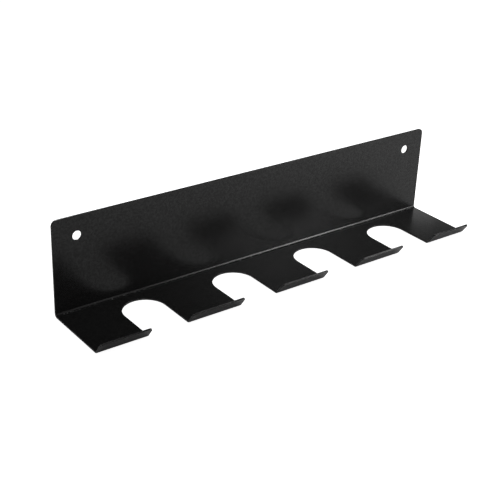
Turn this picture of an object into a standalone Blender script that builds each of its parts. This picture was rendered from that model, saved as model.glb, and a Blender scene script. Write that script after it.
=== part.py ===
"""Wall rack for power tools, made as the real one is: a flat steel blank, cut to shape and folded twice.

The blank is a filled 2D curve with the sheet's thickness. Its outline holds the slots and the rounded
corners, and two more splines are the screw holes. The blank is scored across at both bends, and then
every point is carried round the bends to its place on the folded rack.

Units are metres. The origin lies on the wall plane, midway between the two screw holes.
+X runs along the rack, -Y points out from the wall, and +Z is up.
"""

from math import cos, pi, radians, sin, tan

import bmesh
import bpy
from mathutils import Vector

# Driving dimensions of the rack
LENGTH = 0.400  # end to end, along the wall
HEIGHT = 0.085  # underside of the shelf to the top edge of the back plate
SHELF_DEPTH = 0.067  # wall plane to the outer corner of the front bend
LIP_LENGTH = 0.013  # outer corner of the front bend to the edge of the lip
LIP_ANGLE = radians(55)  # the lip's rise above the shelf

# The sheet
SHEET = 0.0015  # thickness of the steel
BEND_RADIUS = 0.002  # inside radius of both bends

# The slots that the tools hang in
SLOT_COUNT = 4
SLOT_WIDTH = 0.038
SLOT_BACKING = 0.0132  # wall plane to the round end of each slot
END_TAB = 0.0465  # width of the tab outside the first and the last slot

# Screw holes and corners
HOLE_DIAMETER = 0.008
HOLE_FROM_END = 0.022
HOLE_FROM_TOP = 0.0175
PLATE_CORNER = 0.005  # radius of the back plate's top corners
LIP_CORNER = 0.003  # radius of each lip's corners

# Straight steps in each round stretch
BEND_STEPS = 12
SLOT_STEPS = 36
HOLE_STEPS = 36
CORNER_STEPS = 8
WELD = 1e-6  # points this near each other are one point

# The flat blank, from the plate's top edge down to the lip's edge
MIDDLE_RADIUS = BEND_RADIUS + SHEET / 2
OUTER_RADIUS = BEND_RADIUS + SHEET
REAR_TURN = radians(90)
SETBACK = OUTER_RADIUS * tan(LIP_ANGLE / 2)  # outer corner of the front bend to where the bend starts
PLATE_FLAT = HEIGHT - OUTER_RADIUS
SHELF_FLAT = SHELF_DEPTH - OUTER_RADIUS - SETBACK
LIP_FLAT = LIP_LENGTH - SETBACK
STRETCHES = (  # length along the middle of the sheet, and the angle that it turns through
    (PLATE_FLAT, 0.0),
    (MIDDLE_RADIUS * REAR_TURN, REAR_TURN),
    (SHELF_FLAT, 0.0),
    (MIDDLE_RADIUS * LIP_ANGLE, LIP_ANGLE),
    (LIP_FLAT, 0.0),
)
BLANK_WIDTH = sum(length for length, turn in STRETCHES)
SHELF_START = PLATE_FLAT + MIDDLE_RADIUS * REAR_TURN
SLOT_PITCH = (LENGTH - 2 * END_TAB - SLOT_WIDTH) / (SLOT_COUNT - 1)

BLACK_COAT = (0.011, 0.011, 0.0115, 1.0)
COAT_ROUGHNESS = 0.38


def clear_scene():
    for thing in list(bpy.data.objects):
        bpy.data.objects.remove(thing, do_unlink=True)


def arc(centre, radius, start, turn, steps):
    """Points round an arc of the flat blank, both ends included; a negative turn runs clockwise."""
    angles = [start + turn * step / steps for step in range(steps + 1)]
    return [(centre[0] + radius * cos(a), centre[1] + radius * sin(a)) for a in angles]


def slot_centres():
    first = -LENGTH / 2 + END_TAB + SLOT_WIDTH / 2
    return [first + number * SLOT_PITCH for number in range(SLOT_COUNT)]


def blank_outline():
    """The blank's edge, clockwise from the plate's top left corner. The top edge lies at y = 0."""
    half = LENGTH / 2
    lip_edge = -BLANK_WIDTH
    slot_radius = SLOT_WIDTH / 2
    # The shelf's flat starts one outer radius in front of the wall plane.
    slot_arc_y = -(SHELF_START + SLOT_BACKING - OUTER_RADIUS + slot_radius)

    points = arc((-half + PLATE_CORNER, -PLATE_CORNER), PLATE_CORNER, pi, -pi / 2, CORNER_STEPS)
    points += arc((half - PLATE_CORNER, -PLATE_CORNER), PLATE_CORNER, pi / 2, -pi / 2, CORNER_STEPS)
    right = half
    for centre in reversed(slot_centres()):
        points += tab_end(right, centre + slot_radius, lip_edge)
        points += arc((centre, slot_arc_y), slot_radius, 0.0, pi, SLOT_STEPS)
        right = centre - slot_radius
    points += tab_end(right, -half, lip_edge)
    return points


def tab_end(right, left, lip_edge):
    """The two rounded corners at the front of one tab, right to left."""
    middle = lip_edge + LIP_CORNER
    points = arc((right - LIP_CORNER, middle), LIP_CORNER, 0.0, -pi / 2, CORNER_STEPS)
    points += arc((left + LIP_CORNER, middle), LIP_CORNER, -pi / 2, -pi / 2, CORNER_STEPS)
    return points


def screw_holes():
    across = LENGTH / 2 - HOLE_FROM_END
    circles = [arc((x, -HOLE_FROM_TOP), HOLE_DIAMETER / 2, 0.0, 2 * pi, HOLE_STEPS) for x in (-across, across)]
    return [circle[:-1] for circle in circles]


def flat_blank():
    """The blank as a mesh: a filled 2D curve, given the sheet's thickness."""
    curve = bpy.data.curves.new("blank", "CURVE")
    curve.dimensions = "2D"
    curve.fill_mode = "BOTH"
    curve.extrude = SHEET / 2
    for points in [blank_outline(), *screw_holes()]:
        spline = curve.splines.new("POLY")
        spline.points.add(len(points) - 1)
        spline.use_cyclic_u = True
        for point, (x, y) in zip(spline.points, points):
            point.co = (x, y, 0.0, 1.0)
    drawing = bpy.data.objects.new("blank", curve)
    bpy.context.scene.collection.objects.link(drawing)
    graph = bpy.context.evaluated_depsgraph_get()
    mesh = bpy.data.meshes.new_from_object(drawing.evaluated_get(graph))
    bpy.data.objects.remove(drawing, do_unlink=True)
    return mesh


def score(blank):
    """Edges across the blank, at even steps through each bend."""
    reached = 0.0
    for length, turn in STRETCHES:
        if turn:
            for step in range(BEND_STEPS + 1):
                line = Vector((0.0, -(reached + length * step / BEND_STEPS), 0.0))
                everything = blank.verts[:] + blank.edges[:] + blank.faces[:]
                bmesh.ops.bisect_plane(blank, geom=everything, dist=WELD, plane_co=line, plane_no=(0, 1, 0))
        reached += length


def folded(point):
    """Where a point of the blank lies on the rack. The blank's upper face becomes the front and the top."""
    remaining = -point.y
    turned = 0.0
    middle = Vector((0.0, -SHEET / 2, HOLE_FROM_TOP))
    for length, turn in STRETCHES:
        step = min(remaining, length)
        outwards = Vector((0.0, cos(turned), -sin(turned)))
        if turn:
            centre = middle - outwards * MIDDLE_RADIUS
            turned += turn * step / length
            outwards = Vector((0.0, cos(turned), -sin(turned)))
            middle = centre + outwards * MIDDLE_RADIUS
        else:
            middle = middle + Vector((0.0, -sin(turned), -cos(turned))) * step
        remaining -= step
        if remaining <= WELD:
            break
    return Vector((point.x, 0.0, 0.0)) + middle - outwards * point.z


def black_powder_coat():
    material = bpy.data.materials.new("black_powder_coat")
    material.use_nodes = True
    shader = material.node_tree.nodes["Principled BSDF"]
    shader.inputs["Base Color"].default_value = BLACK_COAT
    shader.inputs["Roughness"].default_value = COAT_ROUGHNESS
    shader.inputs["Metallic"].default_value = 0.0
    return material


def folded_steel_sheet(collection):
    """The whole rack: one blank, folded."""
    mesh = flat_blank()
    sheet = bmesh.new()
    sheet.from_mesh(mesh)
    bmesh.ops.remove_doubles(sheet, verts=sheet.verts, dist=WELD)
    score(sheet)
    for vertex in sheet.verts:
        vertex.co = folded(vertex.co)
    bmesh.ops.recalc_face_normals(sheet, faces=sheet.faces)
    sheet.to_mesh(mesh)
    sheet.free()
    mesh.name = "folded_steel_sheet"
    mesh.materials.clear()
    mesh.materials.append(black_powder_coat())
    mesh.shade_smooth()
    mesh.set_sharp_from_angle(angle=radians(30))
    collection.objects.link(bpy.data.objects.new("folded_steel_sheet", mesh))


def build():
    clear_scene()
    rack = bpy.data.collections.new("power_tool_rack")
    bpy.context.scene.collection.children.link(rack)
    folded_steel_sheet(rack)


build()
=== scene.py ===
# %% [markdown]
# # Dressing a folded steel tool rack
# The real rack is one sheet of mild steel: cut flat, folded twice and powder coated black. A measured model
# of it is the frame of this lesson, and it already has the true sizes and place. What it lacks is what the
# eye looks for in sheet metal: edges that the coat has rounded, smooth bends, and the soft gloss of the
# coat. So the sheet is modelled again here, finer, on the frame's own sizes.

from math import atan2, cos, hypot, pi, radians, sin, tan

import bmesh
import bpy
from mathutils import Matrix, Vector


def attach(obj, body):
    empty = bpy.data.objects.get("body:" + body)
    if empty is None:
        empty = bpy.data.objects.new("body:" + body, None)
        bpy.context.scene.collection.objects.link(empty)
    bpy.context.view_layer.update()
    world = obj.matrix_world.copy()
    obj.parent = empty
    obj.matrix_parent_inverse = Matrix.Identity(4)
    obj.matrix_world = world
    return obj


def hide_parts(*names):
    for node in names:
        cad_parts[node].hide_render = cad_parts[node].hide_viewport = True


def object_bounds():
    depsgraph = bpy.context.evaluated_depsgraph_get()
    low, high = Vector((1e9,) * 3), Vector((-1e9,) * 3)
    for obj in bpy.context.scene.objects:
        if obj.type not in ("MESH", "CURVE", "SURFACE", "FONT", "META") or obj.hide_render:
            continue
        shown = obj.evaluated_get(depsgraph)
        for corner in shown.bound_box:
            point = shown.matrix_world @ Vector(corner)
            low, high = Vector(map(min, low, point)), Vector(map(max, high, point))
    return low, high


MM = 1000  # millimetres in a metre, for what is printed

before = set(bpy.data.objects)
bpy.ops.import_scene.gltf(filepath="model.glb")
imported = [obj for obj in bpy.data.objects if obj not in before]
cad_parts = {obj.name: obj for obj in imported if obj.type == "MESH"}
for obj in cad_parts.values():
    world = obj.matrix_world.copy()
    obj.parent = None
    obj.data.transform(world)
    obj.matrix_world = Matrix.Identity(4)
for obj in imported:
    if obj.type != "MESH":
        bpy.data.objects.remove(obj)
cad_low, cad_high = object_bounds()
print("CAD box in mm:", [round(MM * size, 2) for size in cad_high - cad_low])

# %% [markdown]
# ## The camera
# A product photographer stands a rack like this on a table, to the left of its middle and a little above
# it, and uses a short telephoto lens, so that the long shelf keeps its true proportions. Three turns aim the
# camera: a roll about its own axis, a tilt down to the rack, and a swing round it. Multiplied in that order
# they stay independent, which is easier to read than a quaternion, and safer than aiming at a point, because
# that would lose the roll.

# %% Aim the camera
CAMERA_PLACE = Vector((-0.5404, -0.6918, 0.3766))
CAMERA_SWING = radians(-37.768)  # round the rack, to its left
CAMERA_HEIGHT = radians(26.521)  # above the horizon
CAMERA_ROLL = radians(2.370)
LENS_MM = 78.31

camera = bpy.data.objects.new("camera", bpy.data.cameras.new("camera"))
camera.data.lens = LENS_MM
swing = Matrix.Rotation(CAMERA_SWING, 4, "Z")
tilt = Matrix.Rotation(pi / 2 - CAMERA_HEIGHT, 4, "X")
roll = Matrix.Rotation(CAMERA_ROLL, 4, "Z")
camera.matrix_world = Matrix.Translation(CAMERA_PLACE) @ swing @ tilt @ roll
bpy.context.scene.collection.objects.link(camera)
bpy.context.scene.camera = camera
print("camera is", round(CAMERA_PLACE.length, 3), "m from the middle of the screw holes")

# %% [markdown]
# ## The flat of the shelf
# The shelf carries the tools. Their noses slide into four round-ended slots that are open at the front,
# which leaves five tabs. A laser cuts that outline from flat sheet, and a pen can follow the same path here:
# a vertex is pulled along each straight line and spun round the end of each slot. One face then fills the
# outline. A grid with holes punched by a Boolean would also work, but it leaves slivers where a round cut
# runs into a straight one.
#
# The outline is drawn on the underside of the sheet, between the two bends. The thickness comes later, all
# at once.

# %% Measure the shelf on the frame
SHEET = 0.0015  # thickness of the steel
INSIDE_RADIUS = 0.002  # of both bends
OUTSIDE_RADIUS = INSIDE_RADIUS + SHEET
LIP_ANGLE = radians(55)  # the lip's rise above the shelf
SHELF_DEPTH = 0.067  # wall to the outer corner of the front bend
SLOT_COUNT = 4
SLOT_WIDTH = 0.038
SLOT_BACKING = 0.0132  # wall to the round end of a slot
END_TAB = 0.0465  # width of the tab outside the first and the last slot

left, right = cad_low.x, cad_high.x
underside = cad_low.z
wall = cad_high.y
corner_to_bend = OUTSIDE_RADIUS * tan(LIP_ANGLE / 2)
rear_line = wall - OUTSIDE_RADIUS
front_line = wall - SHELF_DEPTH + corner_to_bend
round_end = wall - SLOT_BACKING - SLOT_WIDTH / 2
slot_pitch = (right - left - 2 * END_TAB - SLOT_WIDTH) / (SLOT_COUNT - 1)
first_slot = left + END_TAB + SLOT_WIDTH / 2
slot_centres = [first_slot + slot_pitch * number for number in range(SLOT_COUNT)]
print("slots are", round(MM * slot_pitch, 2), "mm apart")


# %% A pen that draws straight lines and arcs
def pull(mesh, vertex, step):
    """Draws a straight line on from a vertex, and returns the vertex at its far end."""
    end = bmesh.ops.extrude_vert_indiv(mesh, verts=[vertex])["verts"][0]
    bmesh.ops.translate(mesh, verts=[end], vec=step)
    return end


def turn(mesh, geometry, centre, axis, angle, steps):
    """Turns vertices or edges about an axis, leaving edges or faces behind, and returns their far end."""
    spun = bmesh.ops.spin(
        mesh, geom=geometry, cent=centre, axis=axis, dvec=(0, 0, 0), angle=angle, steps=steps
    )
    return spun["geom_last"]


# %% Draw and fill the shelf
SLOT_STEPS = 64
UP = (0, 0, 1)

rack = bmesh.new()
start = rack.verts.new((left, rear_line, underside))
pen = pull(rack, start, (0, front_line - rear_line, 0))
for middle in slot_centres:
    pen = pull(rack, pen, (middle - SLOT_WIDTH / 2 - pen.co.x, 0, 0))
    pen = pull(rack, pen, (0, round_end - front_line, 0))
    pen = turn(rack, [pen], (middle, round_end, underside), UP, -pi, SLOT_STEPS)[0]
    pen = pull(rack, pen, (0, front_line - round_end, 0))
pen = pull(rack, pen, (right - pen.co.x, 0, 0))
pen = pull(rack, pen, (0, rear_line - front_line, 0))
rack.edges.new((pen, start))
bmesh.ops.contextual_create(rack, geom=rack.edges[:])
print("shelf outline has", len(rack.edges), "edges and", len(rack.faces), "face")

# %% [markdown]
# ## The two bends
# A press brake folds the sheet along straight lines: once up at the rear, for the back plate, and once at
# the front of every tab, for the lip that stops a tool from sliding out. A spin about the bend's own axis
# does the same in Blender. It carries an edge round in even steps and leaves a true arc behind, where a
# bevel on a sharp fold would only come near to one. Extruding the edge that comes out at the end adds the
# flat after the bend.

# %% A bend and the flat after it
BEND_STEPS = 20
ALONG = (1, 0, 0)
NEAR = 1e-6  # a point this close to a line or a plane lies on it


def edges_at(mesh, line):
    """The edges that run along the rack at one distance from the wall."""
    return [edge for edge in mesh.edges if all(abs(v.co.y - line) < NEAR for v in edge.verts)]


def fold(mesh, edges, line, angle):
    """Bends the sheet up along a line on its underside, and returns the edges at the end of the bend."""
    bent = turn(mesh, edges, (0, line, underside + OUTSIDE_RADIUS), ALONG, angle, BEND_STEPS)
    return [part for part in bent if isinstance(part, bmesh.types.BMEdge)]


def extend(mesh, edges, step):
    """Adds a flat after a bend."""
    grown = bmesh.ops.extrude_edge_only(mesh, edges=edges)["geom"]
    far_end = [part for part in grown if isinstance(part, bmesh.types.BMVert)]
    bmesh.ops.translate(mesh, verts=far_end, vec=step)


# %% Fold up the back plate and the lips
LIP_LENGTH = 0.013  # outer corner of the front bend to the lip's edge

top_edge = cad_high.z
plate_flat = top_edge - underside - OUTSIDE_RADIUS
lip_flat = LIP_LENGTH - corner_to_bend
rear_edges = edges_at(rack, rear_line)
front_edges = edges_at(rack, front_line)
plate_start = fold(rack, rear_edges, rear_line, pi / 2)
extend(rack, plate_start, (0, 0, plate_flat))
lip_starts = fold(rack, front_edges, front_line, -LIP_ANGLE)
extend(rack, lip_starts, (0, -lip_flat * cos(LIP_ANGLE), lip_flat * sin(LIP_ANGLE)))
print("folded:", len(rear_edges), "plate and", len(front_edges), "lips,", len(rack.faces), "faces")

# %% [markdown]
# ## Screw holes
# Two plain holes near the top corners take the wall screws. A hole in a single large face would need a slit
# to its edge, so the plate is first cut into a coarse grid whose cells hold the holes. Each of those two
# cells is taken out, and its frame is bridged to a circle, which makes a ring of even four-sided faces round
# the rim.

# %% A cut through the plate and a round hole in a cell
HOLE_DIAMETER = 0.008
HOLE_STEPS = 64
RIM_SLIDE = Vector((0, -0.002, 0))  # from behind the plate into it


def once_each(parts):
    """The parts without repeats, in a steady order."""
    return list(dict.fromkeys(parts))


def plate_faces(mesh):
    return [face for face in mesh.faces if all(abs(v.co.y - wall) < NEAR for v in face.verts)]


def cut_plate(mesh, place, across):
    """Cuts the plate's faces in two, along a plane square to across."""
    faces = plate_faces(mesh)
    edges = once_each(edge for face in faces for edge in face.edges)
    verts = once_each(vertex for face in faces for vertex in face.verts)
    bmesh.ops.bisect_plane(mesh, geom=verts + edges + faces, dist=NEAR, plane_co=place, plane_no=across)


def open_hole(mesh, place):
    """Takes out the plate's cell at a place, and bridges its frame to a round rim."""
    cell = min(plate_faces(mesh), key=lambda face: (face.calc_center_median() - place).length)
    frame_edges = cell.edges[:]
    bmesh.ops.delete(mesh, geom=[cell], context="FACES_ONLY")
    divided = bmesh.ops.subdivide_edges(mesh, edges=frame_edges, cuts=HOLE_STEPS // 4 - 1)
    frame_edges = [part for part in divided["geom_split"] if isinstance(part, bmesh.types.BMEdge)]
    # Bridge looks along the line between the two loops, so the rim starts behind the plate and slides in.
    upright = Matrix.Translation(place - RIM_SLIDE) @ Matrix.Rotation(pi / 2, 4, "X")
    circle = bmesh.ops.create_circle(mesh, segments=HOLE_STEPS, radius=HOLE_DIAMETER / 2, matrix=upright)
    rim = circle["verts"]
    rim_edges = once_each(edge for vertex in rim for edge in vertex.link_edges)
    bmesh.ops.bridge_loops(mesh, edges=frame_edges + rim_edges)
    bmesh.ops.translate(mesh, verts=rim, vec=RIM_SLIDE)


# %% Cut the screw holes
HOLE_FROM_END = 0.022
HOLE_CELL = 0.016  # side of the square that a hole is cut from

hole_places = [Vector((x, wall, 0.0)) for x in (left + HOLE_FROM_END, right - HOLE_FROM_END)]
cell_sides = (-HOLE_CELL / 2, HOLE_CELL / 2)
for side in cell_sides:
    cut_plate(rack, (0, wall, side), UP)
for place in hole_places:
    for side in cell_sides:
        cut_plate(rack, place + Vector((side, 0, 0)), ALONG)
for place in hole_places:
    open_hole(rack, place)
print("plate with two holes:", len(plate_faces(rack)), "faces")

# %% [markdown]
# ## Rounded corners
# Nobody wants a sharp sheet corner at hand height, so the plate's two top corners and both corners of every
# lip are cut round. A bevel that works on vertices does just that to a flat corner: it moves back along both
# edges by the radius, and joins them with an arc.

# %% Round the corners
PLATE_CORNER = 0.005
LIP_CORNER = 0.003
CORNER_STEPS = 12


def round_off(mesh, corners, radius):
    bmesh.ops.bevel(
        mesh,
        geom=corners,
        offset=radius,
        segments=CORNER_STEPS,
        profile=0.5,
        affect="VERTICES",
        material=-1,
    )


def lone_corners(mesh, belongs):
    """The vertices that only one face holds, among those that belong."""
    return [vertex for vertex in mesh.verts if len(vertex.link_faces) == 1 and belongs(vertex.co)]


lip_edge = front_line - OUTSIDE_RADIUS * sin(LIP_ANGLE) - lip_flat * cos(LIP_ANGLE)
plate_corners = lone_corners(rack, lambda place: abs(place.z - top_edge) < NEAR)
lip_corners = lone_corners(rack, lambda place: abs(place.y - lip_edge) < NEAR)
print("rounding", len(plate_corners), "plate corners and", len(lip_corners), "lip corners")
round_off(rack, plate_corners, PLATE_CORNER)
round_off(rack, lip_corners, LIP_CORNER)

# %% [markdown]
# ## Thickness and soft edges
# So far the sheet is a skin: the rear of the plate, the underside of the shelf and the outside of the lips.
# Its faces are turned to point outwards first, and then solidify grows the steel to the other side, so that
# the inside of each bend gets its smaller radius by itself. Powder melts and draws round every cut edge as
# it cures. A narrow bevel on all edges of the cut gives that rounding, and it is what catches a thin line of
# light on a real rack.

# %% Give the sheet its thickness and round its cut edges
COAT_ROUND = 0.0002  # how far the melted coat rounds an edge
COAT_STEPS = 4
SHARP = radians(60)  # an edge that turns further than this is a cut edge

bmesh.ops.recalc_face_normals(rack, faces=rack.faces[:])
shelf_face = max(rack.faces, key=lambda face: face.calc_area() * abs(face.normal.z))
if shelf_face.normal.z > 0:
    bmesh.ops.reverse_faces(rack, faces=rack.faces[:])
bmesh.ops.solidify(rack, geom=rack.faces[:], thickness=SHEET)
cut_edges = [edge for edge in rack.edges if edge.calc_face_angle(0.0) > SHARP]
softened = bmesh.ops.bevel(
    rack,
    geom=cut_edges,
    offset=COAT_ROUND,
    segments=COAT_STEPS,
    profile=0.5,
    affect="EDGES",
    material=-1,
)
soft_faces = set(softened["faces"])
print(len(cut_edges), "cut edges rounded by", len(soft_faces), "faces")

# %% [markdown]
# ## Where the coat differs
# In three places the coat isn't like the rest. It draws thin on the rounded edges. Inside the rear bend the
# punch of the press brake has burnished the steel, and the coat on it mirrors more. And where powder is
# blown into an inside corner, the electric field pushes it back, so the lowest part of that bend stays dry.
# The same mark also places pale specks there, a painted highlight that breaks into dots along the bend.
# A painted mask would need an unwrapped sheet. A number on each vertex needs none, follows the bend exactly,
# and the material can read it by its name.

# %% Mark where the coat differs
CORNER_ANGLE = radians(66)  # of the bend's quarter turn, from the plate down to the shelf
CORNER_REACH = radians(26)  # to either side of it
BEND_END = radians(1)  # nearer to a flat than this, a point belongs to the flat too
NEAR_ARC = 1e-5  # a point this close to the bend's arc lies on it

thin_coat = rack.verts.layers.float.new("thin_coat")
# the dry corner is duller and mirrors less, and it is also where the pale specks of painted highlight go
dry_corner_and_painted_glint = rack.verts.layers.float.new("dry_corner_and_painted_glint")
burnished = rack.verts.layers.float.new("burnished")
for vertex in rack.verts:
    vertex[thin_coat] = float(all(face in soft_faces for face in vertex.link_faces))
    outwards = vertex.co.y - rear_line
    downwards = underside + OUTSIDE_RADIUS - vertex.co.z
    if abs(hypot(outwards, downwards) - INSIDE_RADIUS) < NEAR_ARC and outwards > -NEAR:
        turned = atan2(downwards, outwards)
        vertex[dry_corner_and_painted_glint] = max(0.0, 1.0 - abs(turned - CORNER_ANGLE) / CORNER_REACH)
        vertex[burnished] = float(BEND_END < turned < pi / 2 - BEND_END)
for layer in (thin_coat, dry_corner_and_painted_glint, burnished):
    print(layer.name, "marks", sum(vertex[layer] > 0 for vertex in rack.verts), "vertices")

# %% Close the mesh
WELD = 1e-7  # points closer than this are one point

bmesh.ops.remove_doubles(rack, verts=rack.verts[:], dist=WELD)
bmesh.ops.recalc_face_normals(rack, faces=rack.faces[:])
open_edges = [edge for edge in rack.edges if len(edge.link_faces) != 2]
print("volume in mm3:", round(rack.calc_volume() * MM**3), "open edges:", len(open_edges))

# %% [markdown]
# ## The finished sheet
# The mesh becomes an object that rides on the frame's only body, in place of the plain measured solid. It
# stays at the origin with its place in its vertices. Weighted normals let the large flats decide how the
# light falls beside each rounding, so that a flat face stays flat up to its edge.

# %% Put the sheet in the frame
mesh = bpy.data.meshes.new("coated_sheet")
rack.to_mesh(mesh)
rack.free()
mesh.shade_smooth()
coated_sheet = bpy.data.objects.new("coated_sheet", mesh)
coated_sheet.modifiers.new("flats_stay_flat", "WEIGHTED_NORMAL")
bpy.context.scene.collection.objects.link(coated_sheet)

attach(coated_sheet, "root")
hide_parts("folded_steel_sheet")
print("coated sheet:", len(mesh.polygons), "faces")

# %% [markdown]
# ## Black powder coat
# The coat is a thermoset plastic, blown on as dry powder and baked: almost black, with a soft gloss. A plain
# black with one roughness would look like a drawing of it, so the next cells build it up from noise on
# Object coordinates, which stays fixed to the sheet and needs no unwrapping.

# %% Helpers for the coat's nodes
coat = bpy.data.materials.new("semi_gloss_black_coat")
coat.use_nodes = True
coat_nodes, coat_links = coat.node_tree.nodes, coat.node_tree.links
shader = coat_nodes["Principled BSDF"]
on_sheet = coat_nodes.new("ShaderNodeTexCoord").outputs["Object"]


def noise(per_metre, detail):
    """Noise with so many swells to the metre."""
    node = coat_nodes.new("ShaderNodeTexNoise")
    node.inputs["Scale"].default_value = per_metre
    node.inputs["Detail"].default_value = detail
    coat_links.new(on_sheet, node.inputs["Vector"])
    return node.outputs["Fac"]


def marked(layer):
    """The number that the mesh carries under a layer's name."""
    node = coat_nodes.new("ShaderNodeAttribute")
    node.attribute_name = layer
    return node.outputs["Fac"]


def stretch(value, span, ends=(0.0, 1.0)):
    """Maps a span of values to its two ends, and holds what lies beyond them."""
    node = coat_nodes.new("ShaderNodeMapRange")
    for name, number in zip(("From Min", "From Max", "To Min", "To Max"), (*span, *ends)):
        node.inputs[name].default_value = number
    coat_links.new(value, node.inputs["Value"])
    return node.outputs["Result"]


def combine(operation, first, second):
    """Makes one number of two."""
    node = coat_nodes.new("ShaderNodeMath")
    node.operation = operation
    coat_links.new(first, node.inputs[0])
    coat_links.new(second, node.inputs[1])
    return node.outputs[0]


def blend(factor, first, second):
    """Mixes two colours, each of them a tuple or a socket."""
    node = coat_nodes.new("ShaderNodeMix")
    node.data_type = "RGBA"
    coat_links.new(factor, node.inputs["Factor"])
    for socket, colour in ((node.inputs["A"], first), (node.inputs["B"], second)):
        if isinstance(colour, tuple):
            socket.default_value = colour
        else:
            coat_links.new(colour, socket)
    return node.outputs["Result"]


# %% [markdown]
# ### Colour
# Seen close, the black is not even: grains of powder that melted side by side leave a fine mottle. Along the
# dry corner of the rear bend, pale specks are painted in as a broken highlight line, and the thin coat on
# the cut edges is a little greyer. Both could be painted by hand, but the numbers on the vertices already
# say where they lie.

# %% Colour the coat
COAT_BLACK = (0.0075, 0.0075, 0.0075, 1.0)
COAT_GREY = (0.0125, 0.0125, 0.0125, 1.0)
EDGE_GREY = (0.016, 0.016, 0.016, 1.0)
# pale grey of the painted highlight specks in the rear bend's dry corner
PAINTED_GLINT_GREY = (0.12, 0.12, 0.12, 1.0)
GRAIN_SCALE = 550.0  # swells to the metre, as for the noises below
GLINT_SPECK_SCALE = 320.0
GRAIN_SPAN = (0.35, 0.65)  # from the dips of the grain to its crests
GLINT_SPECK_SPAN = (0.55, 0.65)  # only the upper part of the noise is pale

grain = noise(GRAIN_SCALE, detail=1.0)
black = blend(stretch(grain, GRAIN_SPAN), COAT_BLACK, COAT_GREY)
with_edges = blend(marked("thin_coat"), black, EDGE_GREY)
# Painted highlight: pale specks where the dry corner lies stand in for the broken line of light inside the
# rear bend.
glint_spots = stretch(noise(GLINT_SPECK_SCALE, detail=2.0), GLINT_SPECK_SPAN)
painted_glints = combine("MULTIPLY", glint_spots, marked("dry_corner_and_painted_glint"))
coat_links.new(blend(painted_glints, with_edges, PAINTED_GLINT_GREY), shader.inputs["Base Color"])
print("colour of the coat:", len(coat_nodes), "nodes so far")

# %% [markdown]
# ### Peel and grain
# The melted powder never levels out fully. It keeps low swells a few millimetres wide, which the trade calls
# orange peel, and a finer grain on top. Neither is deeper than about a hundredth of a millimetre, so they
# are bumps in the material. In the mesh they would take millions of faces.

# %% Raise the peel and the grain
PEEL_SCALE = 260.0
PEEL_DEPTH = 0.000010
GRAIN_DEPTH = 0.000006


def bumps(height, depth, under=None):
    """Bumps of a depth in metres, on top of others if they are given."""
    node = coat_nodes.new("ShaderNodeBump")
    node.inputs["Strength"].default_value = 1.0
    node.inputs["Distance"].default_value = depth
    coat_links.new(height, node.inputs["Height"])
    if under:
        coat_links.new(under, node.inputs["Normal"])
    return node.outputs["Normal"]


peel = bumps(noise(PEEL_SCALE, detail=1.0), PEEL_DEPTH)
coat_links.new(bumps(grain, GRAIN_DEPTH, peel), shader.inputs["Normal"])
print("peel up to", round(MM * PEEL_DEPTH, 3), "mm deep, grain up to", round(MM * GRAIN_DEPTH, 3), "mm")

# %% [markdown]
# ### Gloss
# The roughness of the coat drifts a little from place to place, and the dips of the grain, which hold fine
# pores, mirror less than its crests. The burnished inside of the rear bend mirrors more, down to the dry
# corner, which is dull and hardly mirrors at all. That gives the bend one thin bright line. A glossier coat
# all over would also brighten the line, but then the plate and the lips would look wet.

# %% Set the roughness
ROUGHNESS = (0.24, 0.26)
DRY_ROUGHNESS = 0.6
DRIFT_SCALE = 300.0
DRIFT_SPAN = (0.3, 0.7)
DRY_SPAN = (0.0, 0.4)  # of the corner's mark, from smooth to fully dry

drift = stretch(noise(DRIFT_SCALE, detail=2.0), DRIFT_SPAN, ROUGHNESS)
dullness = stretch(marked("dry_corner_and_painted_glint"), DRY_SPAN, (0.0, DRY_ROUGHNESS))
coat_links.new(combine("MAXIMUM", drift, dullness), shader.inputs["Roughness"])
print("roughness", ROUGHNESS, "and", DRY_ROUGHNESS, "in the dry corner")

# %% Set how much the coat mirrors
MIRRORING = (0.41, 0.59)  # specular level of the dips and of the crests
BURNISHED_GAIN = 1.65  # how much more the inside of the rear bend mirrors
DRY_MIRRORING = 0.05

grainy = stretch(grain, GRAIN_SPAN, MIRRORING)
gain = stretch(marked("burnished"), (0.0, 1.0), (1.0, BURNISHED_GAIN))
most = stretch(marked("dry_corner_and_painted_glint"), DRY_SPAN, (1.0, DRY_MIRRORING))
level = combine("MINIMUM", combine("MULTIPLY", grainy, gain), most)
coat_links.new(level, shader.inputs["Specular IOR Level"])
coated_sheet.data.materials.append(coat)
print("whole coat:", len(coat_nodes), "nodes")

# %% [markdown]
# ## Floor and backdrop
# Sellers show a rack like this cut out on white. A pale floor that also glows for the camera gives that, and
# the lamps need not be turned up for it. Light Path tells which kind of ray asks: the camera sees the whole
# glow, while glossy rays get only a little of it. Mirrored in full, it would turn the black plate grey and
# hide the shadow that the lips mirror from beneath them.

# %% Weigh the glow by the kind of ray
MIRRORED = 0.02  # share of a glow that glossy rays see


def seen_share(nodes, links, share):
    """A socket that gives this share to camera and transmission rays, and a little to glossy ones."""
    path = nodes.new("ShaderNodeLightPath")
    shares = {"Is Camera Ray": share, "Is Transmission Ray": share, "Is Glossy Ray": MIRRORED}
    total = None
    for ray, part in shares.items():
        sum_node = nodes.new("ShaderNodeMath")
        sum_node.operation = "MULTIPLY_ADD"
        sum_node.inputs[1].default_value = part
        sum_node.inputs[2].default_value = 0.0
        links.new(path.outputs[ray], sum_node.inputs[0])
        if total:
            links.new(total, sum_node.inputs[2])
        total = sum_node.outputs[0]
    return total


# %% A pale floor that glows
FLOOR_PALE = (0.8, 0.8, 0.8, 1.0)
FLOOR_GLOW = 0.92


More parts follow.
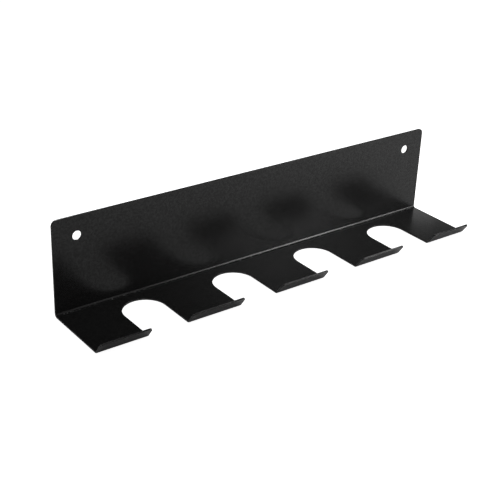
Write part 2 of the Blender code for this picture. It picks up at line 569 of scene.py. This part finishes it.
def pale_floor():
    material = bpy.data.materials.new("pale_floor")
    material.use_nodes = True
    nodes, links = material.node_tree.nodes, material.node_tree.links
    nodes.remove(nodes["Principled BSDF"])
    matt = nodes.new("ShaderNodeBsdfDiffuse")
    matt.inputs["Color"].default_value = FLOOR_PALE
    glow = nodes.new("ShaderNodeEmission")
    links.new(seen_share(nodes, links, FLOOR_GLOW), glow.inputs["Strength"])
    both = nodes.new("ShaderNodeAddShader")
    links.new(matt.outputs[0], both.inputs[0])
    links.new(glow.outputs[0], both.inputs[1])
    links.new(both.outputs[0], nodes["Material Output"].inputs["Surface"])
    return material


# %% Lay the floor
FLOOR_RADIUS = 6.0
FLOOR_STEPS = 64
FLOOR_GAP = 0.0002  # keeps the floor just clear of the shelf

floor_level = Matrix.Translation((0, 0, underside - FLOOR_GAP))
disc = bmesh.new()
bmesh.ops.create_circle(
    disc, cap_ends=True, segments=FLOOR_STEPS, radius=FLOOR_RADIUS, matrix=floor_level
)
floor_mesh = bpy.data.meshes.new("floor")
disc.to_mesh(floor_mesh)
disc.free()
floor_mesh.materials.append(pale_floor())
floor = bpy.data.objects.new("floor", floor_mesh)
bpy.context.scene.collection.objects.link(floor)
print("floor at", round(underside - FLOOR_GAP, 4), "m")

# %% [markdown]
# ## Studio light
# A black coat shows little of its own colour: what the eye reads as its shape is the room mirrored in it. So
# every lamp is placed for its reflection. The two strips and the two softboxes at the front right are
# mirrored in the inside of the bend, as one thin bright line that fades to the left. The high softbox on the
# right is mirrored in the edges of the lips. The others light the floor, and the plate mirrors the floor
# with the dark tabs on it. Two small white cards behind the right end give the last tab its bright corner.

# %% Helper for the softboxes
def softbox(name, place, aim, size, brightness):
    """An area lamp that faces a point. A brightness of 1 looks as bright as white paper in full light."""
    width, height = size
    lamp = bpy.data.lights.new(name, "AREA")
    lamp.shape = "RECTANGLE"
    lamp.size = width
    lamp.size_y = height
    lamp.energy = brightness * pi * width * height
    box = bpy.data.objects.new(name, lamp)
    box.location = place
    box.rotation_mode = "QUATERNION"
    box.rotation_quaternion = (Vector(aim) - Vector(place)).to_track_quat("-Z", "Y")
    bpy.context.scene.collection.objects.link(box)


# %% Set the strips and softboxes
MIDDLE = (0.0, -0.03, -0.04)

softbox("low_strip", place=(0.646, -0.615, 0.016), aim=MIDDLE, size=(0.2, 0.12), brightness=8.0)
softbox("upper_strip", place=(0.526, -0.627, 0.134), aim=MIDDLE, size=(0.12, 0.12), brightness=15.0)
softbox("near_right_softbox", place=(0.302, -0.390, 0.131), aim=MIDDLE, size=(0.15, 0.15), brightness=2.3)
softbox("front_right_softbox", place=(0.535, -0.455, 0.384), aim=MIDDLE, size=(0.35, 0.25), brightness=1.7)
softbox("high_right_softbox", place=(0.348, -0.091, 0.381), aim=MIDDLE, size=(0.2, 0.33), brightness=2.55)
softbox("left_softbox", place=(-0.816, -0.03, 0.340), aim=MIDDLE, size=(0.18, 0.18), brightness=6.6)
softbox("overhead_softbox", place=(0.0, -0.05, 0.86), aim=MIDDLE, size=(0.35, 0.35), brightness=3.3)
softbox("back_softbox", place=(0.0, 0.707, 0.476), aim=MIDDLE, size=(0.35, 0.35), brightness=6.4)
print("strips and softboxes:", len(bpy.data.lights))

# %% Set the two white cards
LAST_TAB = (0.18, -0.05, -0.066)
REAR_CORNER = (0.19, -0.02, -0.066)  # of the last tab

softbox("wide_card", place=(0.27, 0.06, -0.035), aim=LAST_TAB, size=(0.12, 0.05), brightness=0.26)
softbox("small_card", place=(0.235, 0.035, -0.045), aim=REAR_CORNER, size=(0.05, 0.03), brightness=0.31)
print("lamps and cards:", sorted(lamp.name for lamp in bpy.data.lights))

# %% [markdown]
# ## The room
# The room round the table is grey at the horizon and dim above it, so that the lamps stay the brightest
# things in the reflections. A picture of a studio wrapped round the scene would do the same with more
# detail, but a black coat as soft as this one blurs it all. The camera sees the room as white, like the
# floor, which keeps low views clean too.

# %% Tint the room
ROOM_GREY = (0.3, 0.3, 0.3, 1.0)
ROOM_DIM = (0.055, 0.055, 0.055, 1.0)
HORIZON_ENDS = (radians(3), radians(15))  # where the grey starts to fade, and where it has gone

world = bpy.data.worlds.new("room")
world.use_nodes = True
bpy.context.scene.world = world
nodes, links = world.node_tree.nodes, world.node_tree.links
direction = nodes.new("ShaderNodeSeparateXYZ")
links.new(nodes.new("ShaderNodeTexCoord").outputs["Generated"], direction.inputs[0])
rise = nodes.new("ShaderNodeMapRange")
rise.interpolation_type = "SMOOTHSTEP"
rise.inputs["From Min"].default_value = sin(HORIZON_ENDS[0])
rise.inputs["From Max"].default_value = sin(HORIZON_ENDS[1])
links.new(direction.outputs["Z"], rise.inputs["Value"])
tint = nodes.new("ShaderNodeMix")
tint.data_type = "RGBA"
tint.inputs["A"].default_value = ROOM_GREY
tint.inputs["B"].default_value = ROOM_DIM
links.new(rise.outputs["Result"], tint.inputs["Factor"])
print("the room dims from", ROOM_GREY[0], "at the horizon to", ROOM_DIM[0], "above it")

# %% Show the room as white to the camera
WHITE = (1.0, 1.0, 1.0, 1.0)
FULL_SHARE = 1.0

backdrop = nodes.new("ShaderNodeMix")
backdrop.data_type = "RGBA"
backdrop.inputs["B"].default_value = WHITE
links.new(seen_share(nodes, links, FULL_SHARE), backdrop.inputs["Factor"])
links.new(tint.outputs["Result"], backdrop.inputs["A"])
links.new(backdrop.outputs["Result"], nodes["Background"].inputs["Color"])
bpy.context.scene.view_settings.view_transform = "Standard"
print("room:", len(nodes), "nodes")
